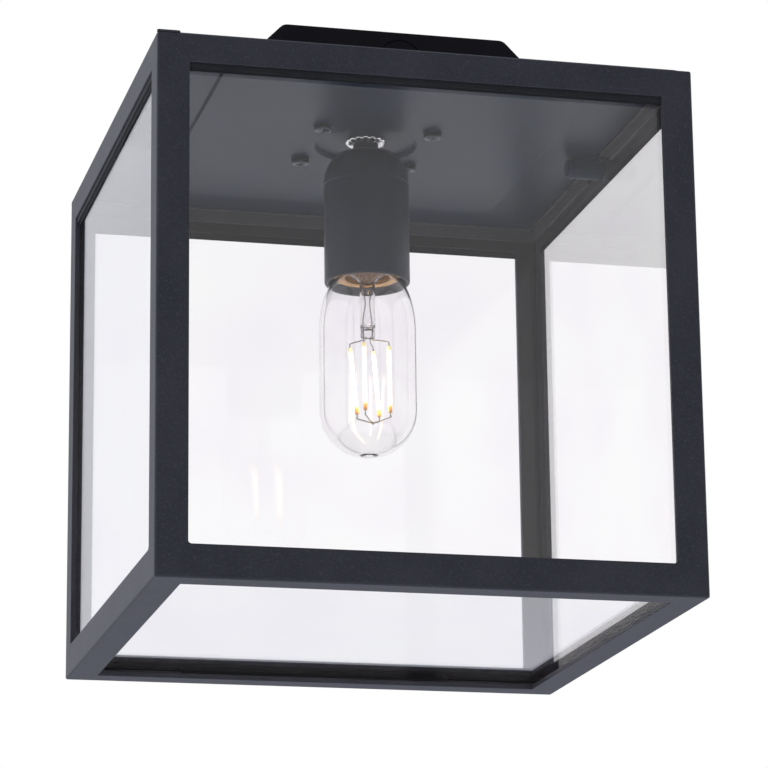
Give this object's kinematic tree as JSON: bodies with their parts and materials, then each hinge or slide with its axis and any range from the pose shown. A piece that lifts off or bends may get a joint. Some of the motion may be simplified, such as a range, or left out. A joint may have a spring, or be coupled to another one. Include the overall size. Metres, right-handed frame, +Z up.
{
  "type": "porch ceiling lantern",
  "caption": "Square black metal lantern with clear glass sides and floor, fixed close to a ceiling by a channel-shaped base, with one clear filament bulb in a dark lampholder inside.",
  "frame": {"origin": "middle of the ceiling bracket, at the face that lies against the ceiling", "axes": "+Z up, away from the room; the lantern hangs below. -Y is the front, the side of the knock-out; +X is to the right when seen from the front"},
  "size_m": [0.25, 0.25, 0.2814],
  "materials": {
    "cage_paint": "fine-textured matte powder coat",
    "pan_paint": "matte powder coat",
    "black_paint": "matte powder coat",
    "zinc_steel": "zinc plated",
    "brass": "plain",
    "black_rubber": "matte",
    "holder_plastic": "matte",
    "ceramic": "plain",
    "white_plastic": "plain",
    "clear_glass": "clear",
    "bulb_glass": "clear",
    "black_glass": "gloss",
    "filament": "glowing",
    "brown_insulation": "plain",
    "blue_insulation": "plain",
    "green_yellow_insulation": "striped"
  },
  "bodies": {
    "canopy": {"ceiling_bracket": "zinc_steel", "cable_grommet": "black_rubber", "side_screws": "zinc_steel", "base_channel": "black_paint", "terminal_block": "white_plastic", "terminal_screws": "zinc_steel", "earth_screw": "zinc_steel", "earth_lug": "brass", "ceiling_pan": "pan_paint", "pan_screws": "zinc_steel", "pan_washers": "zinc_steel", "pan_nuts": "zinc_steel", "threaded_tube": "zinc_steel", "tube_nut": "zinc_steel", "stiffening_disc": "pan_paint", "toothed_ring": "zinc_steel", "holder_dome": "holder_plastic", "holder_sleeve": "holder_plastic", "holder_core": "ceramic", "screw_shell": "brass", "centre_contact": "brass", "contact_screws": "brass", "live_wire": "brown_insulation", "neutral_wire": "blue_insulation", "earth_wire": "green_yellow_insulation", "catch_housing_left": "pan_paint", "catch_housing_right": "pan_paint", "catch_spring_left": "zinc_steel", "catch_spring_right": "zinc_steel"},
    "cage": {"top_rail_front": "cage_paint", "top_rail_rear": "cage_paint", "top_rail_left": "cage_paint", "top_rail_right": "cage_paint", "bottom_rail_front": "cage_paint", "bottom_rail_rear": "cage_paint", "bottom_rail_left": "cage_paint", "bottom_rail_right": "cage_paint", "corner_post_front_left": "cage_paint", "corner_post_front_right": "cage_paint", "corner_post_rear_left": "cage_paint", "corner_post_rear_right": "cage_paint", "front_pane": "clear_glass", "rear_pane": "clear_glass", "left_pane": "clear_glass", "right_pane": "clear_glass", "floor_pane": "clear_glass", "glazing_seals": "black_rubber", "glazing_beads": "cage_paint", "floor_pads": "black_rubber"},
    "lamp": {"bulb_glass": "bulb_glass", "bulb_cap": "brass", "bulb_insulator": "black_glass", "bulb_contact": "zinc_steel", "bulb_stem": "bulb_glass", "bulb_filaments": "filament", "filament_wires": "zinc_steel"},
    "left_catch": {"catch_bolt_left": "zinc_steel"},
    "right_catch": {"catch_bolt_right": "zinc_steel"}
  },
  "joints": [
    {"name": "cage_drop", "type": "slide", "parent": "canopy", "child": "cage", "axis": [0, 0, -1], "range_m": [0, 0.2]},
    {"name": "bulb_out", "type": "slide", "parent": "canopy", "child": "lamp", "axis": [0, 0, -1], "range_m": [0, 0.031]},
    {"name": "left_catch_push", "type": "slide", "parent": "canopy", "child": "left_catch", "axis": [1, 0, 0], "range_m": [0, 0.0008], "stiffness_N_per_m": 1500, "springref_m": -0.003},
    {"name": "right_catch_push", "type": "slide", "parent": "canopy", "child": "right_catch", "axis": [-1, 0, 0], "range_m": [0, 0.0008], "stiffness_N_per_m": 1500, "springref_m": -0.003}
  ]
}
